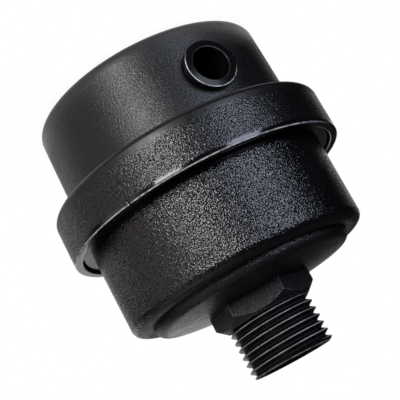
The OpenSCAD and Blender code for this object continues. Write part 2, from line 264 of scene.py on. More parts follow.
def makeCover():
    s = named(coverShape)
    outline, outerPatch, innerPatch = coverOutline()
    angles, rows = coverAngles(), s.patchRows
    columns = len(angles)
    lipR, _, lipZ = boxOf("cover")[1]
    middle = angles.index(270)
    halfColumns = rows // 2

    def inPatch(j, i):
        across = middle - halfColumns <= i < middle + halfColumns
        return across and (outerPatch <= j < outerPatch + rows or innerPatch <= j < innerPatch + rows)

    points = []
    for r, z in outline:
        for angle in angles:
            points += turned([nicked(r, z, angle, lipR, lipZ)], angle)
    # the outline is open at the axis: two caps close the flat top and its inside
    faces = gridFaces(len(outline), columns, closedRows=False, skip=inPatch)
    last = (len(outline) - 1) * columns
    faces += [tuple(range(columns))[::-1], tuple(last + i for i in range(columns))]

    def border(first):
        # the patch's border, round the hole
        a, b = middle - halfColumns, middle + halfColumns
        loop = [(first, i) for i in range(a, b)] + [(first + j, b) for j in range(rows)]
        loop += [(first + rows, i) for i in range(b, a, -1)] + [(first + j, a) for j in range(rows, 0, -1)]
        return [j * columns + i for j, i in loop]

    def ringOfPatch(loop, share, radius):
        # share 0 is the border and 1 the circle
        ring = []
        for v in loop:
            x, y, z = points[v]
            wallR = sqrt(x * x + y * y)
            dx, dz = x, z - s.holeDepth
            away = sqrt(dx * dx + dz * dz)
            cx, cz = dx / away * radius, dz / away * radius
            px, pz = dx + (cx - dx) * share, dz + (cz - dz) * share
            here = wallR + (s.crownR - s.crownTopR) * (pz - dz) / s.crownH
            ring.append((px, -sqrt(here * here - px * px), pz + s.holeDepth))
        return ring

    def stitch(ringA, ringB):
        n = len(ringA)
        for k in range(n):
            faces.append((ringA[k], ringA[(k + 1) % n], ringB[(k + 1) % n], ringB[k]))

    def addRing(ring):
        start = len(points)
        points.extend(ring)
        return list(range(start, start + len(ring)))

    mouths = []
    for first in (outerPatch, innerPatch):
        loop = ring = border(first)
        for share in (0.2, 0.4, 0.6, 0.8, 0.95, 1.0):
            previous, ring = ring, addRing(ringOfPatch(loop, share, s.holeR + s.holeEdge))
            stitch(previous, ring)
        mouths.append(ring)
    # the edge of the hole is rounded, and its wall joins the two mouths
    outer, inner = mouths
    edge = outer
    for a in (25, 50, 90):
        inwards = []
        for v in outer:
            x, y, z = points[v]
            dx, dz = x, z - s.holeDepth
            shrink = (s.holeR + s.holeEdge * (1 - sin(radians(a)))) / (s.holeR + s.holeEdge)
            deeper = s.holeEdge * (1 - cos(radians(a)))
            inwards.append((dx * shrink, y + deeper, dz * shrink + s.holeDepth))
        ring = addRing(inwards)
        stitch(edge, ring)
        edge = ring
    # the inner outline runs the other way, so each point looks for its nearest partner

    def apart(v, w):
        return (points[v][0] - points[w][0]) ** 2 + (points[v][2] - points[w][2]) ** 2

    stitch(edge, [min(inner, key=lambda v: apart(v, w)) for w in edge])
    return fixNormals(makePiece("coverShell", points, faces))


def makeHooks():
    s, hooks = named(twistLock), []
    skirtIn = boxOf("cover")[1][0] - coverShape["skirtWall"]
    for k in range(s.count):
        a = s.turn + 360 * k / s.count
        hooks.append(block(f"hook{k + 1}", s.hookIn, skirtIn + s.root, s.hookZ, s.hookZ + s.hookT,
                           a - s.hookHalf, a + s.hookHalf))
    return hooks


elementHolder = {"ringIn": 21.7, "ringWall": 1.4, "ringEnd": 5.9, "ribs": 8, "ribT": 1.2, "ribEnd": 3.4,
                 "ribRoot": 0.5, "bossR": 7.55, "bossFace": 25.306, "bossRoot": 0.35, "root": 0.4,
                 "soft": 0.2}


def makeHolder():
    s = named(elementHolder)
    top = coverShape["wall"] - s.root
    outside, ribReach = s.ringIn + s.ringWall, s.ringIn + s.ribRoot
    section = [(s.ringIn, top), (outside, top), (outside, s.ringEnd), (s.ringIn, s.ringEnd)]
    made = [soften(lathe("elementHolder", section), s.soft)]
    for k in range(s.ribs // 2):
        made.append(makeRib(f"crownRib{k + 1}", -ribReach, ribReach, s.ribT, top, s.ribEnd, 360 * k / s.ribs))
    return made


def makeRib(name, start, end, thick, low, high, angle):
    # a straight bar across the axis or beside it
    a, half = radians(angle), thick / 2
    corners = []
    for z in (low, high):
        for along, across in ((start, -half), (end, -half), (end, half), (start, half)):
            corners.append((along * cos(a) - across * sin(a), along * sin(a) + across * cos(a), z))
    faces = [(3, 2, 1, 0), (4, 5, 6, 7), (0, 1, 5, 4), (1, 2, 6, 5), (2, 3, 7, 6), (3, 0, 4, 7)]
    return soften(makePiece(name, corners, faces), elementHolder["soft"])


def alongIntake(piece):
    # turns a piece made round Z so that it lies round the intake tube's axis
    for v in piece.data.vertices:
        x, y, z = v.co
        v.co = (x, -z, y + coverShape["holeDepth"] * mm)
    piece.data.update()
    return piece


def makeBoss():
    s = named(elementHolder)
    start, end = s.bossFace, coverShape["crownTopR"] - coverShape["wall"] + s.bossRoot
    hole = coverShape["holeR"]
    section = [(hole, start), (s.bossR, start), (s.bossR, end), (hole, end)]
    return alongIntake(lathe("intakeBoss", section, steps=96))


# Intake tube: a flat glossy lip between two rounded edges
tubeShape = {"boreR": 4.15, "bodyR": 5.65, "outR": 5.88, "brimAt": 29.0, "lip": 30.75, "fall": 0.09,
             "outerRound": 0.14, "innerRound": 0.2, "collarR": 6.95, "collarT": 1.2, "boreSeen": 1.2,
             "bevel": 0.2, "faceMargin": 0.04, "sideMargin": 0.05, "brimRise": 0.1}


def makeTube():
    s = named(tubeShape)
    face = elementHolder["bossFace"]
    roundAt = s.lip - s.fall - s.outerRound
    outline = [(s.boreR, face - s.collarT + s.bevel), (s.boreR + s.bevel, face - s.collarT),
               (s.collarR, face - s.collarT), (s.collarR, face), (s.bodyR, face),
               (s.bodyR, s.brimAt - s.brimRise), (s.outR, s.brimAt), (s.outR, roundAt - s.sideMargin)]
    outline += arc((s.outR - s.outerRound, roundAt), s.outerRound, 0, 84, steps=6)
    # a point close to each round edge keeps the lip's face flat in shading
    inner, outer = (s.boreR + s.innerRound, s.lip), outline[-1]
    slope = (outer[1] - inner[1]) / (outer[0] - inner[0])
    for r in (outer[0] - s.faceMargin, inner[0] + s.faceMargin):
        outline.append((r, inner[1] + slope * (r - inner[0])))
    outline += arc((inner[0], s.lip - s.innerRound), s.innerRound, 90, 180, steps=7)
    outline += [(s.boreR, s.lip - s.innerRound - s.sideMargin), (s.boreR, s.lip - s.boreSeen)]
    return fixNormals(alongIntake(lathe("intakeTube", outline, steps=128)))


# Cup: rim, wall, rounded corner, land, step, shallow dome and the passage's collar
cupShape = {
    "rimR": 29.8, "wallR": 29.55, "wall": 2.2, "ledge": 0.6, "sealW": 1.5, "flangeEnd": 32.0,
    "wallEnd": 51.0, "corner": 2.1, "cornerTurn": 55, "land": 3.6, "landEnd": 86, "rimBevel": 0.2,
    "creaseR": 24.85, "creaseZ": 53.1, "crease": 0.16, "discDraft": 4, "discRound": 1.75,
    "domeStart": (23.344, 55.4), "domeSlope": 10.5, "floor": 2.4, "boreR": 7.2, "collarR": 9.0,
    "domeRings": (22.2, 21, 19.8, 18.6, 17.4, 16.2, 15, 14, 13, 11, 9.2, 8), "innerRing": 18,
    "seatH": 0.6, "collarH": 3.2, "bevel": 0.3, "seatRingR": 12.2, "seatRingW": 1.6, "ribs": 8,
    "ribT": 1.2, "ribEnd": 21.4, "floorRound": 1.75, "innerWallRing": 40, "innerBevel": 0.15,
    "creaseFoot": 0.1, "ribStart": 13, "ribRoot": 0.5,
}


def cupPoints():
    # the underside: two arcs to a flat land, a crease, and a raised disc with a round edge and a dome
    s = named(cupShape)
    turn, dome = radians(s.cornerTurn), radians(s.domeSlope)
    cornerC = (s.wallR - s.corner, s.wallEnd)
    reach = s.corner - s.land
    landC = (cornerC[0] + reach * cos(turn), cornerC[1] + reach * sin(turn))
    domeStart = s.domeStart
    edgeC = (domeStart[0] - s.discRound * sin(dome), domeStart[1] - s.discRound * cos(dome))
    domeR = domeStart[0] / sin(dome)
    domeZ = domeStart[1] - domeR * cos(dome)
    return cornerC, landC, edgeC, domeStart, domeR, domeZ


def domeHeight(r):
    domeR, domeZ = cupPoints()[4:]
    return domeZ + sqrt(domeR ** 2 - r ** 2)


def makeCup():
    s = named(cupShape)
    cornerC, landC, edgeC, domeStart, domeR, domeZ = cupPoints()
    rimZ = boxOf("cup")[0][2]
    inR, sealR, ledgeZ = s.rimR - s.wall, s.rimR - s.sealW, rimZ + s.ledge
    seatZ = domeStart[1] - s.floor * cos(radians(s.domeSlope)) - s.seatH
    floorZ = s.creaseZ - s.floor
    innerDome = domeR - s.floor
    slope = s.domeSlope

    def inside(r):
        return domeZ + sqrt(innerDome ** 2 - r ** 2)

    outline = [(sealR, ledgeZ), (s.rimR - s.rimBevel, ledgeZ), (s.rimR, ledgeZ + s.rimBevel)]
    outline += line(outline[-1], (s.rimR, s.flangeEnd), steps=3)
    outline += line((s.rimR, s.flangeEnd), (s.wallR, s.wallEnd), steps=14)[:-1]
    outline += arc(cornerC, s.corner, 0, s.cornerTurn, steps=10)
    outline += arc(landC, s.land, s.cornerTurn, s.landEnd, steps=10)[1:]
    outline += line(outline[-1], (s.creaseR + s.creaseFoot, s.creaseZ), steps=3)
    outline += [(s.creaseR, s.creaseZ - s.crease)]
    outline += arc(edgeC, s.discRound, s.discDraft, 90 - slope, steps=14)
    outline += [(r, domeHeight(r)) for r in (*s.domeRings, s.boreR)]
    # passage, collar and floor
    collarEnd, seatRingOut = seatZ - s.collarH, s.seatRingR + s.seatRingW
    outline += [(s.boreR, collarEnd + s.bevel), (s.boreR + s.bevel, collarEnd),
                (s.collarR - s.bevel, collarEnd), (s.collarR, collarEnd + s.bevel),
                (s.collarR, inside(s.collarR)), (s.seatRingR, inside(s.seatRingR)),
                (s.seatRingR, seatZ), (seatRingOut, seatZ), (seatRingOut, inside(seatRingOut))]
    innerStart = (innerDome * sin(radians(slope)), domeZ + innerDome * cos(radians(slope)))
    outline += [(s.innerRing, inside(s.innerRing)), innerStart]
    outline += [(innerStart[0] + (innerStart[1] - floorZ) / 2, floorZ)]
    outline += arc((inR - s.floorRound, floorZ - s.floorRound), s.floorRound, 90, 0, steps=6)
    outline += [(inR, s.innerWallRing), (inR, rimZ + s.innerBevel), (inR + s.innerBevel, rimZ),
                (sealR - s.innerBevel, rimZ), (sealR, rimZ + s.innerBevel)]
    made = [fixNormals(lathe("cupShell", outline, sharpAngle=30))]
    top = inside(0) + s.ribRoot
    for k in range(s.ribs):
        made.append(makeRib(f"floorRib{k + 1}", s.ribStart, s.ribEnd, s.ribT, seatZ, top,
                            twistLock["turn"] + 360 * k / s.ribs))
    return made


flangeShape = {"start": 29.4, "end": 32.0, "innerR": 29.4, "outerR": 32.42, "edge": 0.3, "underEdge": 0.1,
               "relief": 0.3, "faceRing": 30.6, "reliefSide": 0.35, "reliefColumns": 20, "edgeColumns": 36}


def makeFlange():
    s, lock = named(flangeShape), named(twistLock)
    outline = [(s.innerR, s.start), (s.outerR - s.underEdge, s.start), (s.outerR, s.start + s.underEdge)]
    outline += arc((s.outerR - s.edge, s.end - s.edge), s.edge, 0, 90, steps=5)
    outline += [(s.faceRing, s.end), (s.innerR, s.end)]
    period, half, side = 360 / lock.count, lock.reliefHalf, s.reliefSide

    def between(start, width, columns):
        return [start + side + (width - 2 * side) * i / columns for i in range(columns + 1)]

    angles = []
    for k in range(lock.count):
        middle = lock.turn + k * period
        angles += between(middle - half, 2 * half, s.reliefColumns)
        angles += between(middle + half, period - 2 * half, s.edgeColumns)

    def change(j, angle):
        away = abs((angle - lock.turn + period / 2) % period - period / 2)
        onEdge = 0 < j < len(outline) - 2
        return -s.relief if onEdge and away < half else 0

    return fixNormals(lathe("flange", outline, sharpAngle=30, angles=angles, change=change))


def makeLugs():
    s, made = named(twistLock), []
    foot = cupShape["rimR"] - s.root
    for k in range(s.count):
        a = s.turn + 360 * k / s.count
        made.append(block(f"lug{k + 1}", foot, s.lugOut, s.lugZ, s.lugZ + s.lugT,
                          a - s.lugHalf, a + s.stopEnd))
        made.append(block(f"lugStop{k + 1}", foot, s.lugOut - s.relief, s.lugZ + s.stopRise,
                          s.hookZ + s.hookT, a + s.stopStart, a + s.stopEnd - s.stopShort))
    return made


# Hexagon: rounded corners under a cone-shaped bevel
hexShape = {"r": 12.702, "turn": 33, "cornerRound": 0.08, "bevelR": 10.43, "bevel": 41, "end": 61.72,
            "root": 54.5, "foot": 56.4, "rows": 44, "columns": 40, "crowding": 0.75, "topR": 10, "innerR": 9}


def makeHexagon():
    s = named(hexShape)
    flat = s.r * cos(pi / 6)

    def sideR(angle):
        # a rounded corner is a circle that touches both flats
        away = radians(abs((angle - s.turn + 30) % 60 - 30))
        straight = flat / cos(pi / 6 - away)
        centre = s.r - s.cornerRound / cos(pi / 6)
        reach = s.cornerRound ** 2 - (centre * sin(away)) ** 2
        return min(straight, centre * cos(away) + sqrt(reach)) if reach > 0 else straight

    angles = []
    for k in range(6):
        for i in range(s.columns):
            # the columns crowd towards the corners
            t = i / s.columns
            angles.append(s.turn + 60 * k + 60 * (t - sin(2 * pi * t) / (2 * pi) * s.crowding))
    heights = [s.root] + [s.foot + (s.end - s.foot) * i / s.rows for i in range(s.rows + 1)]
    points = []
    for z in heights:
        limit = s.bevelR + (s.end - z) / tan(radians(s.bevel))
        for angle in angles:
            points += turned([(min(sideR(angle), limit), z)], angle)
    closing = [(s.topR, s.end), (s.innerR, s.end), (s.innerR, s.root)]
    for ring in closing:
        for angle in angles:
            points += turned([ring], angle)
    faces = gridFaces(len(heights) + len(closing), len(angles))
    return fixNormals(makePiece("hexagon", points, faces, sharpAngle=24))


# Outlet thread: a right-hand V thread with small flats, from the hexagon to the chamfered end
threadShape = {"crestR": 10.15, "rootR": 8.95, "pitch": 1.814, "crestAt": 70.955, "crestTurn": 209,
               "start": 61.2, "end": 73.47, "endR": 9.52, "boreR": 7.2, "runOut": 0.6, "runOutFrom": 0.2,
               "crestFlat": 0.1, "rootFlat": 0.02, "round": 0.12, "mouth": 0.25, "columns": 192,
               "rowStep": 0.036, "boreRings": (1, 3, 5, 7, 9, 11), "foot": 3, "footR": 9, "neck": 0.2}


def rounded(share, soft):
    # 0 to 1, eased at 0 over the width soft
    share = min(1, max(-soft / 2, share))
    return (share + soft / 2) ** 2 / (2 * soft) if share < soft / 2 else share


def makeThread():
    s = named(threadShape)
    rows = int(ceil((s.end - s.start) / s.rowStep))
    angles = [360 * i / s.columns for i in range(s.columns)]
    points = []
    for j in range(rows + 1):
        z = s.start + (s.end - s.start) * j / rows
        fade = min(1, max(0, (z - s.start - s.runOutFrom) / s.runOut))
        for angle in angles:
            # distance from the nearest crest, as a share of the pitch
            phase = (z - s.crestAt) / s.pitch - (angle - s.crestTurn) / 360
            away = abs(phase - floor(phase + 0.5))
            flank = (away - s.crestFlat / 2) / (0.5 - s.crestFlat / 2 - s.rootFlat / 2)
            r = s.crestR - (s.crestR - s.rootR) * rounded(flank, s.round)
            r = s.rootR + (r - s.rootR) * fade
            # the end's chamfer is a 45 degree cone
            points += turned([(min(r, s.endR + (s.end - z)), z)], angle)
    closing = [(s.boreR + s.mouth, s.end), (s.boreR, s.end - s.mouth)]
    closing += [(s.boreR, s.end - depth) for depth in s.boreRings]
    closing += [(s.boreR, s.start - s.foot), (s.footR, s.start - s.foot), (s.footR, s.start - s.neck)]
    for ring in closing:
        for angle in angles:
            points += turned([ring], angle)
    faces = gridFaces(rows + 1 + len(closing), len(angles))
    return fixNormals(makePiece("outletThread", points, faces, sharpAngle=40))


coverShell = makeCover()
hooks = makeHooks()
holder = makeHolder()
boss = makeBoss()
tube = makeTube()
print("cover made")
cupParts = makeCup()
flange = makeFlange()
lugs = makeLugs()
hexagon = makeHexagon()
thread = makeThread()
print("cup made")

coverPieces = [coverShell, *hooks, *holder, boss]
cupPieces = [*cupParts, flange, *lugs, hexagon, thread]
for piece in coverPieces:
    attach(piece, "cover_body")
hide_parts("cover")
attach(tube, "cover_body")
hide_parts("intake_tube")
for piece in cupPieces:
    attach(piece, "cup_body")
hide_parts("cup")


# Shader groups: each is built once and placed in every material that shows the effect

def newGroup(name, inputs):
    # inputs maps a socket's name to its first value
    group = bpy.data.node_groups.new(name, "ShaderNodeTree")
    for label, value in inputs.items():
        kind = {3: "Vector", 4: "Color"}[len(value)] if isinstance(value, tuple) else "Float"
        socket = group.interface.new_socket(label, in_out="INPUT", socket_type="NodeSocket" + kind)
        socket.default_value = value
    return group, group.nodes.new("NodeGroupInput").outputs


def finishGroup(group, **results):
    # each result is a kind of socket and what feeds it
    end = group.nodes.new("NodeGroupOutput")
    for label, (kind, source) in results.items():
        group.interface.new_socket(label, in_out="OUTPUT", socket_type="NodeSocket" + kind)
        group.links.new(source, end.inputs[label])
    return group


def fill(tree, node, inputs):
    # inputs maps a socket's name or number to a plain value or to another socket
    for key, value in inputs.items():
        if isinstance(value, bpy.types.NodeSocket):
            tree.links.new(value, node.inputs[key])
        else:
            node.inputs[key].default_value = value
    return node


def addNode(tree, kind, inputs=None, **settings):
    node = tree.nodes.new("ShaderNode" + kind)
    for key, value in settings.items():
        setattr(node, key, value)
    return fill(tree, node, inputs or {})


def calc(tree, operation, a, b=0.0, c=0.0, clamp=False):
    return addNode(tree, "Math", {0: a, 1: b, 2: c}, operation=operation, use_clamp=clamp).outputs[0]


def times(tree, first, *others):
    for other in others:
        first = calc(tree, "MULTIPLY", first, other)
    return first


def hypotenuse(tree, a, b):
    return calc(tree, "SQRT", calc(tree, "ADD", times(tree, a, a), times(tree, b, b)))


def vectorCalc(tree, operation, a, b=(0, 0, 0)):
    # a dot product or a distance is a number, and every other result is a vector
    node = addNode(tree, "VectorMath", {0: a, "Scale" if operation == "SCALE" else 1: b}, operation=operation)
    return node.outputs["Value" if operation in ("DOT_PRODUCT", "DISTANCE") else "Vector"]


def spread(tree, value, fromLow, fromHigh, toLow=0.0, toHigh=1.0, smooth=True):
    node = addNode(tree, "MapRange", {"Value": value, "From Min": fromLow, "From Max": fromHigh,
                                      "To Min": toLow, "To Max": toHigh})
    node.interpolation_type = "SMOOTHSTEP" if smooth else "LINEAR"
    return node.outputs["Result"]


def noise(tree, where, scale, detail, roughness=0.5, distortion=0.0):
    inputs = {"Vector": where, "Scale": scale, "Detail": detail, "Roughness": roughness,
              "Distortion": distortion}
    return addNode(tree, "TexNoise", inputs).outputs["Fac"]


noiseRange = (0.3, 0.7)      # a noise is mostly between these


def cells(tree, where, scale):
    return addNode(tree, "TexVoronoi", {"Vector": where, "Scale": scale}).outputs


def millimetres(tree):
    # the point's place on the part, in millimetres
    return vectorCalc(tree, "SCALE", addNode(tree, "TexCoord").outputs["Object"], 1 / mm)


def fromAxis(tree):
    # distance from the housing's axis, and height
    xyz = addNode(tree, "SeparateXYZ", {0: millimetres(tree)}).outputs
    return hypotenuse(tree, xyz["X"], xyz["Y"]), xyz["Z"]


def makeMouldGrain():
    # spark-eroded mould surface: round dimples mixed with soft ridges of about the same size
    group, given = newGroup("mouldGrain", {"Size": 0.35, "Roundness": 0.5})
    facetsPerDimple = 1.6
    where = millimetres(group)
    density = calc(group, "DIVIDE", 1.0, given["Size"])
    ridges = noise(group, where, density, detail=1.2, roughness=0.55, distortion=0.25)
    dimples = calc(group, "POWER", cells(group, where, density)["Distance"], 2)
    height = addNode(group, "Mix", {"Factor": given["Roundness"], 2: ridges, 3: dimples}, data_type="FLOAT")
    # each small facet of the eroded mould has its own tilt and shine
    facets = cells(group, where, times(group, density, facetsPerDimple))["Color"]
    return finishGroup(group, Height=("Float", height.outputs[0]), Facets=("Color", facets))


def makeZone():
    # 1 where a point lies between two heights and outside a radius, with soft ends
    group, given = newGroup("grainedZone", {"Low": 0.0, "High": 10.0, "Low Fade": 0.5, "High Fade": 0.5,
                                            "Radius": 28.0})
    across, height = fromAxis(group)
    above = spread(group, height, given["Low"], calc(group, "ADD", given["Low"], given["Low Fade"]))
    below = spread(group, height, given["High"], calc(group, "SUBTRACT", given["High"], given["High Fade"]))
    outside = calc(group, "GREATER_THAN", across, given["Radius"])
    return finishGroup(group, Mask=("Float", times(group, above, below, outside)))


def makeEdgeWear():
    # edges rubbed paler and smoother, broken up so that no line is even
    group, given = newGroup("edgeWear", {"Width": 0.0004, "Patchy": 0.5})
    softened = addNode(group, "Bevel", {"Radius": given["Width"]}, samples=6).outputs["Normal"]
    straight = addNode(group, "NewGeometry").outputs["Normal"]
    # the cosine of the bend between the two, from none to a sharp edge's
    edge = spread(group, vectorCalc(group, "DOT_PRODUCT", softened, straight), 0.995, 0.86)
    patches = noise(group, millimetres(group), scale=0.45, detail=4.0, roughness=0.6)
    broken = spread(group, patches, 0.35, 0.65)
    share = calc(group, "MULTIPLY_ADD", calc(group, "SUBTRACT", broken, 1.0), given["Patchy"], 1.0)
    return finishGroup(group, Mask=("Float", calc(group, "MULTIPLY", edge, share, clamp=True)))


def makePaintedHighlightRing():
    # a painted highlight: a thin pale ring at a radius and a height from a centre, broken up and strongest on
    # its lit side
    group, given = newGroup("paintedHighlightRing", {"Centre": (0, 0, 0), "Axis": (0, 0, 1), "Side": (0, 0, 0),
                                          "Radius": 5.0, "Height": 5.0, "Width": 0.2})
    where = millimetres(group)
    out = vectorCalc(group, "SUBTRACT", where, given["Centre"])
    along = vectorCalc(group, "DOT_PRODUCT", out, given["Axis"])
    foot = vectorCalc(group, "SCALE", given["Axis"], along)
    across = vectorCalc(group, "DISTANCE", out, foot)
    away = hypotenuse(group, calc(group, "SUBTRACT", across, given["Radius"]),
                      calc(group, "SUBTRACT", along, given["Height"]))
    ring = spread(group, away, given["Width"], times(group, given["Width"], 0.5))
    broken = spread(group, noise(group, where, scale=0.8, detail=4.0), 0.3, 0.6, toLow=0.3)
    towardsLitSide = calc(group, "DIVIDE", vectorCalc(group, "DOT_PRODUCT", out, given["Side"]), across)
    return finishGroup(group, Mask=("Float", times(group, ring, broken, spread(group, towardsLitSide, -0.3, 0.4))))


def makeFineDust():
    # single pale specks, rare and of uneven size
    group, given = newGroup("fineDust", {"Spacing": 1.6, "Amount": 0.2, "Size": 0.12})
    specks = cells(group, millimetres(group), calc(group, "DIVIDE", 1.0, given["Spacing"]))
    chance = addNode(group, "SeparateColor", {0: specks["Color"]}).outputs
    limit = times(group, calc(group, "DIVIDE", given["Size"], given["Spacing"]), chance["Green"])
    speck = spread(group, specks["Distance"], limit, times(group, limit, 0.5))
    kept = calc(group, "LESS_THAN", chance["Red"], given["Amount"])
    return finishGroup(group, Mask=("Float", times(group, speck, kept)))


def makeHandling():
    # slow cloudy change of tone and shine from handling and moulding flow
    group, given = newGroup("handling", {"Size": 14.0})
    where = millimetres(group)
    density = calc(group, "DIVIDE", 1.0, given["Size"])
    smearsPerCloud = 3.7
    clouds = noise(group, where, density, detail=3.0)
    smears = noise(group, where, times(group, density, smearsPerCloud), detail=5.0, distortion=0.8)
    return finishGroup(group, Clouds=("Float", spread(group, clouds, *noiseRange)),
                       Smears=("Float", spread(group, smears, *noiseRange)))


grainGroup = makeMouldGrain()
zoneGroup = makeZone()
wearGroup = makeEdgeWear()
paintedHighlightGroup = makePaintedHighlightRing()
dustGroup = makeFineDust()
handlingGroup = makeHandling()
print("shader groups built")


# Materials

def newMaterial(name):
    material = bpy.data.materials.new(name)
    material.use_nodes = True
    tree = material.node_tree
    return material, tree, tree.nodes["Principled BSDF"]


def place(tree, group, **inputs):
    # a group's node with its own values; a blank in a socket's name is written as an underscore
    inputs = {key.replace("_", " "): value for key, value in inputs.items()}
    return addNode(tree, "Group", inputs, node_tree=group).outputs


def blendColours(tree, share, first, second):
    first, second = [(*c, 1) if isinstance(c, tuple) else c for c in (first, second)]
    return addNode(tree, "Mix", {"Factor": share, 6: first, 7: second}, data_type="RGBA").outputs[2]


def dress(tree, shader, tone, rough, height, depth, normal=None):
    # the depth of the relief is in millimetres
    bump = addNode(tree, "Bump", {"Height": height, "Distance": depth * mm})
    if normal is not None:
        tree.links.new(normal, bump.inputs["Normal"])
    fill(tree, shader, {"Base Color": tone, "Roughness": rough, "Normal": bump.outputs["Normal"]})


dustFinish = {"share": 0.5, "rough": 0.8, "tone": (0.3, 0.29, 0.28)}
shiniest = 0.1      # the roughness of the grain's smoothest facets


def blackPlastic(name, look):
    # moulded black plastic: grain inside its zones, cloudy tone, rubbed edges (so pale on the hexagon that
    # they are also a painted highlight), painted highlight rings, and specks of dust
    material, tree, shader = newMaterial(name)
    s = named(look)
    clouds = place(tree, handlingGroup, Size=s.cloudSize)
    tone = blendColours(tree, clouds["Clouds"], s.dark, s.pale)
    # edge wear; on the hexagon its pale tone is also a painted highlight along the corners
    wear = place(tree, wearGroup, Width=s.wearWidth * mm, Patchy=s.patchy)["Mask"]
    tone = blendColours(tree, times(tree, wear, s.wear), tone, s.worn)
    dust = place(tree, dustGroup, Spacing=s.dustSpacing, Amount=s.dust, Size=s.dustSize)["Mask"]
    tone = blendColours(tree, times(tree, dust, dustFinish["share"]), tone, dustFinish["tone"])
    # painted highlights: pale rings along round edges, strongest on their lit side
    for rim in s.rims:
        ring = place(tree, paintedHighlightGroup, **rim["ring"])["Mask"]
        tone = blendColours(tree, times(tree, ring, rim["share"]), tone, rim["tone"])
    rough = spread(tree, clouds["Smears"], 0, 1, *s.rough, smooth=False)
    rough = calc(tree, "SUBTRACT", rough, times(tree, wear, s.polish))
    if "lip" in look:
        # the skirt's lip isn't grained, and shines
        lip = place(tree, zoneGroup, **s.lip["area"])["Mask"]
        rough = calc(tree, "SUBTRACT", rough, times(tree, lip, s.lip["polish"]))
    rough = calc(tree, "MAXIMUM", rough, times(tree, dust, dustFinish["rough"]))
    if "crest" in look:
        # the thread's crests are rubbed pale, which also paints their highlight, and its roots are dull
        c = named(s.crest)
        crest = place(tree, zoneGroup, Low=c.low, High=c.high, Radius=c.radius)["Mask"]
        rubbedAndHighlit = times(tree, crest, spread(tree, clouds["Smears"], 0, 1, *c.share))
        tone = blendColours(tree, rubbedAndHighlit, tone, c.tone)
        flanks = place(tree, zoneGroup, Low=c.low, High=c.high, Radius=c.dullTo)["Mask"]
        rough = calc(tree, "MAXIMUM", rough, calc(tree, "MULTIPLY_ADD", flanks, -c.dull, c.dull))

    height = times(tree, noise(tree, millimetres(tree), scale=9.0, detail=2.0), s.satin)
    tilted = addNode(tree, "NewGeometry").outputs["Normal"]
    for zone in s.zones:
        z = named(zone)
        grain = place(tree, grainGroup, Size=z.size, Roundness=s.roundness)
        mask = place(tree, zoneGroup, **z.area)["Mask"]
        height = calc(tree, "ADD", height, times(tree, grain["Height"], z.depth, mask))
        own = addNode(tree, "SeparateColor", {0: grain["Facets"]}).outputs["Red"]
        glint = times(tree, calc(tree, "SUBTRACT", 0.5, own), mask)
        rough = calc(tree, "MULTIPLY_ADD", mask, z.dull, rough)
        rough = calc(tree, "MAXIMUM", calc(tree, "MULTIPLY_ADD", glint, z.glint, rough), shiniest)
        tilt = vectorCalc(tree, "SUBTRACT", grain["Facets"], (0.5, 0.5, 0.5))
        tilt = vectorCalc(tree, "SCALE", tilt, times(tree, mask, z.tilt))
        tilted = vectorCalc(tree, "ADD", tilted, tilt)
    dress(tree, shader, tone, rough, height, depth=1, normal=vectorCalc(tree, "NORMALIZE", tilted))
    shader.inputs["IOR"].default_value = s.ior
    return material


coverLook = {
    "dark": (0.003, 0.003, 0.0035), "pale": (0.006, 0.0058, 0.0062), "worn": (0.04, 0.04, 0.041),
    "wear": 0.6, "wearWidth": 0.45, "patchy": 0.5, "polish": 0.18, "cloudSize": 15, "rough": (0.35, 0.41),
    "dust": 0.05, "dustSpacing": 2.6, "dustSize": 0.16, "ior": 1.5, "satin": 0.0006, "roundness": 0.85,
    "lip": {"area": {"Low": 31.2, "High": 40, "Low_Fade": 0.6, "Radius": 32}, "polish": 0.27},
    # painted highlight along the skirt lip's outer edge
    "rims": [{"ring": {"Side": (0.87, -0.5, 0), "Radius": 34.44, "Height": boxOf("cover")[1][2] - 0.14,
                       "Width": 0.22}, "share": 1, "tone": (0.75, 0.75, 0.75)}],
    "zones": [      # the crown's side and the skirt
        {"area": {"Low": 1.6, "High": 21.0, "Low_Fade": 2, "High_Fade": 1.5, "Radius": 28},
         "size": 0.34, "depth": 0.05, "dull": -0.01, "glint": 0.15, "tilt": 0.09},
        {"area": {"Low": 22.6, "High": 32.1, "Low_Fade": 2.5, "High_Fade": 0.9, "Radius": 34},
         "size": 0.38, "depth": 0.078, "dull": -0.12, "glint": 0.25, "tilt": 0.19},
    ],
}
cupLook = {
    "dark": (0.003, 0.003, 0.0035), "pale": (0.006, 0.006, 0.0065), "worn": (0.04, 0.04, 0.041),
    "wear": 0.45, "wearWidth": 0.4, "patchy": 0.6, "polish": 0.08, "cloudSize": 17, "rough": (0.27, 0.33),
    "dust": 0.04, "dustSpacing": 3, "dustSize": 0.15, "ior": 1.54, "satin": 0.0008, "roundness": 0.85,
    "rims": [],
    "zones": [      # the wall, the dome and the edge of the raised disc
        {"area": {"Low": 33, "High": 52.8, "Radius": 29},
         "size": 0.39, "depth": 0.1, "dull": -0.13, "glint": 0.3, "tilt": 0.27},
        {"area": {"Low": 50.8, "High": 58, "Radius": 12},
         "size": 0.4, "depth": 0.035, "dull": 0.02, "glint": 0.12, "tilt": 0.08},
        {"area": {"Low": 52.4, "High": 55.7, "High_Fade": 0.4, "Radius": 22.6},
         "size": 0.4, "depth": 0.08, "dull": 0.12, "glint": 0.12, "tilt": 0.12},
    ],
}
hexLook = {
    **cupLook, "ior": 1.5, "dark": (0.006, 0.006, 0.009), "rough": (0.44, 0.5), "roundness": 0.8,
    # the pale edge tone is rubbed edges and a painted highlight along the hexagon's corners
    "wear": 1, "wearWidth": 0.28, "patchy": 0.3, "worn": (0.38, 0.38, 0.39),
    "zones": [{"area": {"Low": 56, "High": 61.4, "Low_Fade": 0.3, "High_Fade": 0.3, "Radius": 10.4},
               "size": 0.36, "depth": 0.1, "dull": 0.02, "glint": 0.2, "tilt": 0.2}],
}
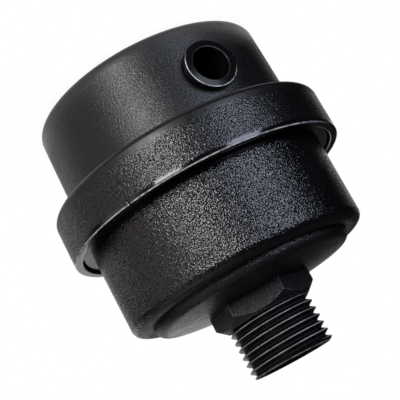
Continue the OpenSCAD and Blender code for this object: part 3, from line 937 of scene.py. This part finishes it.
threadLook = {
    **cupLook, "ior": 1.5, "dark": (0.002, 0.002, 0.0022), "pale": (0.003, 0.003, 0.0032),
    "rough": (0.3, 0.38), "wear": 0, "wearWidth": 0.15, "patchy": 0.4, "dust": 0.015, "zones": [],
    # painted highlights round the thread end's chamfer and the bore's mouth
    "rims": [{"ring": {"Side": (0.48, -0.87, 0), "Radius": 9.5, "Height": 73.44, "Width": 0.2},
              "share": 1, "tone": (0.5, 0.5, 0.5)},
             {"ring": {"Side": (0.48, -0.87, 0), "Radius": 7.6, "Height": 73.44, "Width": 0.16},
              "share": 0.5, "tone": (0.3, 0.3, 0.3)}],
    # crests rubbed pale, which also stands as a painted highlight along them
    "crest": {"low": 61.8, "high": 73.6, "radius": 10.1, "dullTo": 9.15, "dull": 0.9,
              "tone": (0.3, 0.3, 0.305), "share": (0.5, 0.9)},
}
tubeAxis = {"Centre": (0, 0, coverShape["holeDepth"]), "Axis": (0, -1, 0)}
tubeLook = {
    **coverLook, "dark": (0.004, 0.004, 0.0045), "pale": (0.006, 0.006, 0.0065), "rough": (0.12, 0.16),
    "wear": 0, "wearWidth": 0.2, "patchy": 0.35, "polish": 0.06, "dust": 0.1, "dustSpacing": 1.6,
    "dustSize": 0.12, "ior": 1.25, "satin": 0.0003, "zones": [],
    # painted highlights on the lip's outer and inner round edges
    "rims": [{"ring": {**tubeAxis, "Side": (0.5, 0, 0.85), "Radius": 5.82, "Height": 30.62, "Width": 0.15},
              "share": 1, "tone": (0.75, 0.75, 0.76)},
             {"ring": {**tubeAxis, "Side": (0, 0, -0.1), "Radius": 4.22, "Height": 30.68, "Width": 0.13},
              "share": 0.4, "tone": (0.3, 0.3, 0.31)}],
}

coverBlack = blackPlastic("coverBlack", coverLook)
cupBlack = blackPlastic("cupBlack", cupLook)
hexBlack = blackPlastic("hexagonBlack", hexLook)
threadBlack = blackPlastic("threadBlack", threadLook)
tubeBlack = blackPlastic("tubeBlack", tubeLook)
for piece in coverPieces:
    piece.data.materials.append(coverBlack)
for piece in cupPieces:
    piece.data.materials.append({hexagon: hexBlack, thread: threadBlack}.get(piece, cupBlack))
tube.data.materials.append(tubeBlack)


def rubber(name, dark, pale, rough):
    # soft moulded rings and caps, dull with a fine skin
    material, tree, shader = newMaterial(name)
    clouds = place(tree, handlingGroup, Size=6.0)
    skin = place(tree, grainGroup, Size=0.18, Roundness=0.3)["Height"]
    dress(tree, shader, blendColours(tree, clouds["Clouds"], dark, pale),
          spread(tree, clouds["Smears"], 0, 1, *rough), skin, depth=0.012)
    return material


def filterPaperWithPaintedShade(name):
    # pressed fibres in a dark carbon grey, made this dark as painted shade inside the housing, and darker in
    # patches
    material, tree, shader = newMaterial(name)
    fibres = noise(tree, millimetres(tree), scale=4.5, detail=6.0, roughness=0.7, distortion=1.5)
    clouds = place(tree, handlingGroup, Size=9.0)["Clouds"]
    tone = blendColours(tree, spread(tree, fibres, *noiseRange), (0.012, 0.012, 0.011), (0.03, 0.03, 0.028))
    tone = blendColours(tree, times(tree, clouds, 0.4), tone, (0.008, 0.008, 0.008))
    dress(tree, shader, tone, spread(tree, fibres, *noiseRange, 0.85, 0.98), fibres, depth=0.06)
    return material


def zincPlate(name):
    # thin zinc on rolled sheet: fine lines round the tube and dull patches
    material, tree, shader = newMaterial(name)
    stretched = vectorCalc(tree, "MULTIPLY", millimetres(tree), (0.35, 0.35, 9.0))
    lines = noise(tree, stretched, scale=1.0, detail=5.0)
    patches = place(tree, handlingGroup, Size=4.0)
    tone = blendColours(tree, patches["Clouds"], (0.5, 0.51, 0.53), (0.62, 0.62, 0.61))
    wear = place(tree, wearGroup, Width=0.25 * mm, Patchy=0.4)["Mask"]
    tone = blendColours(tree, wear, tone, (0.72, 0.72, 0.72))
    dress(tree, shader, tone, spread(tree, lines, *noiseRange, 0.28, 0.45), lines, depth=0.01)
    shader.inputs["Metallic"].default_value = 1
    return material


capRubber = rubber("capCompound", (0.05, 0.054, 0.06), (0.075, 0.08, 0.085), (0.5, 0.65))
hiddenFinishes = {
    "housing_seal": rubber("sealRubber", (0.02, 0.02, 0.02), (0.035, 0.035, 0.034), (0.55, 0.75)),
    "element_cap_upper": capRubber,
    "element_cap_lower": capRubber,
    "filter_paper": filterPaperWithPaintedShade("filterPaperWithPaintedShade"),
    "element_core": zincPlate("coreSteel"),
}
for node, finish in hiddenFinishes.items():
    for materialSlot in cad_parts[node].material_slots:
        materialSlot.link = "OBJECT"
        materialSlot.material = finish
print("materials set")


# Floor: a small pale disc under the cover, with a rounded edge, white to the camera and in reflections
floorShape = {"r": 34.5, "below": 0.02, "edge": 1.2, "shadowFrom": 26, "shadowTo": 33, "whiteness": 0.96,
              "tone": (0.9, 0.9, 0.9, 1), "rough": 0.8}


def makeFloor():
    s = named(floorShape)
    outline = [(0.5, -s.below), (s.r - s.edge, -s.below)]
    outline += arc((s.r - s.edge, -s.below - s.edge), s.edge, 90, -90)
    outline += [(0.5, -s.below - 2 * s.edge)]
    disc = fixNormals(lathe("floor", outline, steps=128))
    material, tree, shader = newMaterial("floorPale")
    fill(tree, shader, {"Base Color": s.tone, "Roughness": s.rough})
    glow = addNode(tree, "Emission", {"Color": (1, 1, 1, 1), "Strength": 1.0})
    ray = addNode(tree, "LightPath").outputs
    mirrored = calc(tree, "MAXIMUM", ray["Is Glossy Ray"], ray["Is Transmission Ray"])
    seen = calc(tree, "MAXIMUM", ray["Is Camera Ray"], mirrored)
    # a little of the object's shadow is left under it, and none at the disc's edge
    white = spread(tree, fromAxis(tree)[0], s.shadowFrom, s.shadowTo, s.whiteness, 1)
    mix = addNode(tree, "MixShader", {0: times(tree, seen, white), 1: shader.outputs[0], 2: glow.outputs[0]})
    tree.links.new(mix.outputs[0], tree.nodes["Material Output"].inputs["Surface"])
    disc.data.materials.append(material)


makeFloor()

# Light: two softboxes below and level with the object, placed by their directions from it
lamps = {
    "softboxWarm": {"turn": -45, "rise": -20, "size": (0.44, 0.52), "power": 9.4, "colour": (1, 1, 1)},
    "softboxCool": {"turn": -107, "rise": -7, "size": (0.56, 0.58), "power": 7.8, "colour": (0.74, 0.8, 1)},
}
lampDistance, lampHeight = 1.2, 0.035      # metres


def direction(turn, rise):
    turn, rise = radians(turn), radians(rise)
    return Vector((cos(turn) * cos(rise), sin(turn) * cos(rise), sin(rise)))


def makeLamps():
    for name, values in lamps.items():
        s = named(values)
        data = bpy.data.lights.new(name, "AREA")
        data.shape = "RECTANGLE"
        data.size, data.size_y = s.size
        data.energy, data.color = s.power, s.colour
        lamp = bpy.data.objects.new(name, data)
        away = direction(s.turn, s.rise)
        lamp.location = away * lampDistance + Vector((0, 0, lampHeight))
        lamp.rotation_euler = away.to_track_quat("Z", "Y").to_euler()
        lamp.visible_camera = False
        bpy.context.scene.collection.objects.link(lamp)


makeLamps()


def makeRoundLight():
    # light from one direction, full up to half the given angle and nothing beyond it
    group, given = newGroup("roundLight", {"Direction": (0, 0, 1), "Spread": 30.0, "Colour": (1, 1, 1, 1),
                                           "Level": 1.0})
    away = addNode(group, "TexCoord").outputs["Generated"]
    near = vectorCalc(group, "DOT_PRODUCT", away, given["Direction"])
    edge = calc(group, "COSINE", calc(group, "RADIANS", given["Spread"]))
    core = calc(group, "COSINE", calc(group, "RADIANS", times(group, given["Spread"], 0.5)))
    share = times(group, spread(group, near, edge, core), given["Level"])
    return finishGroup(group, Light=("Color", vectorCalc(group, "SCALE", given["Colour"], share)))


# Bounced light of the room: side, back and ceiling, each as a direction and a spread in degrees
roomLight = {
    "side": {"turn": 0, "rise": -4, "spread": 28, "level": 0.97, "colour": (1, 0.87, 0.95)},
    "lowBack": {"turn": 62, "rise": -40, "spread": 38, "level": 0.7, "colour": (1, 1, 1)},
    "high": {"turn": 22, "rise": 53, "spread": 30, "level": 0.6, "colour": (1, 0.98, 1)},
    "back": {"turn": 100, "rise": 8, "spread": 24, "level": 0.85, "colour": (1, 1, 0.98)},
    "ceiling": {"turn": 78, "rise": 60, "spread": 84, "level": 0.025, "colour": (1, 1, 1)},
}
backdrop = {"turn": 120, "rise": -23, "spread": 35, "level": 0.78, "colour": (1, 1, 1)}
ambient = 0.004


def makeWorld():
    world = bpy.data.worlds.new("studio")
    bpy.context.scene.world = world
    world.use_nodes = True
    tree = world.node_tree
    roundLight = makeRoundLight()

    def lit(values):
        s = named(values)
        return place(tree, roundLight, Direction=direction(s.turn, s.rise), Spread=s.spread, Level=s.level,
                     Colour=(*s.colour, 1))["Light"]

    total = (ambient,) * 3
    for values in roomLight.values():
        total = vectorCalc(tree, "ADD", lit(values), total)
    # the white backdrop is seen by the camera all round, and in reflections where it stands
    ray = addNode(tree, "LightPath").outputs
    mirrored = calc(tree, "MAXIMUM", ray["Is Glossy Ray"], ray["Is Transmission Ray"])
    shown = vectorCalc(tree, "SCALE", lit(backdrop), mirrored)
    room = tree.nodes["Background"]
    tree.links.new(vectorCalc(tree, "MAXIMUM", total, shown), room.inputs["Color"])
    white = addNode(tree, "Background", {"Color": (1, 1, 1, 1), "Strength": 1.0})
    seen = addNode(tree, "MixShader", {0: ray["Is Camera Ray"], 1: room.outputs[0], 2: white.outputs[0]})
    tree.links.new(seen.outputs[0], tree.nodes["World Output"].inputs["Surface"])


makeWorld()
bpy.context.scene.view_settings.view_transform = "Standard"
print("light set")
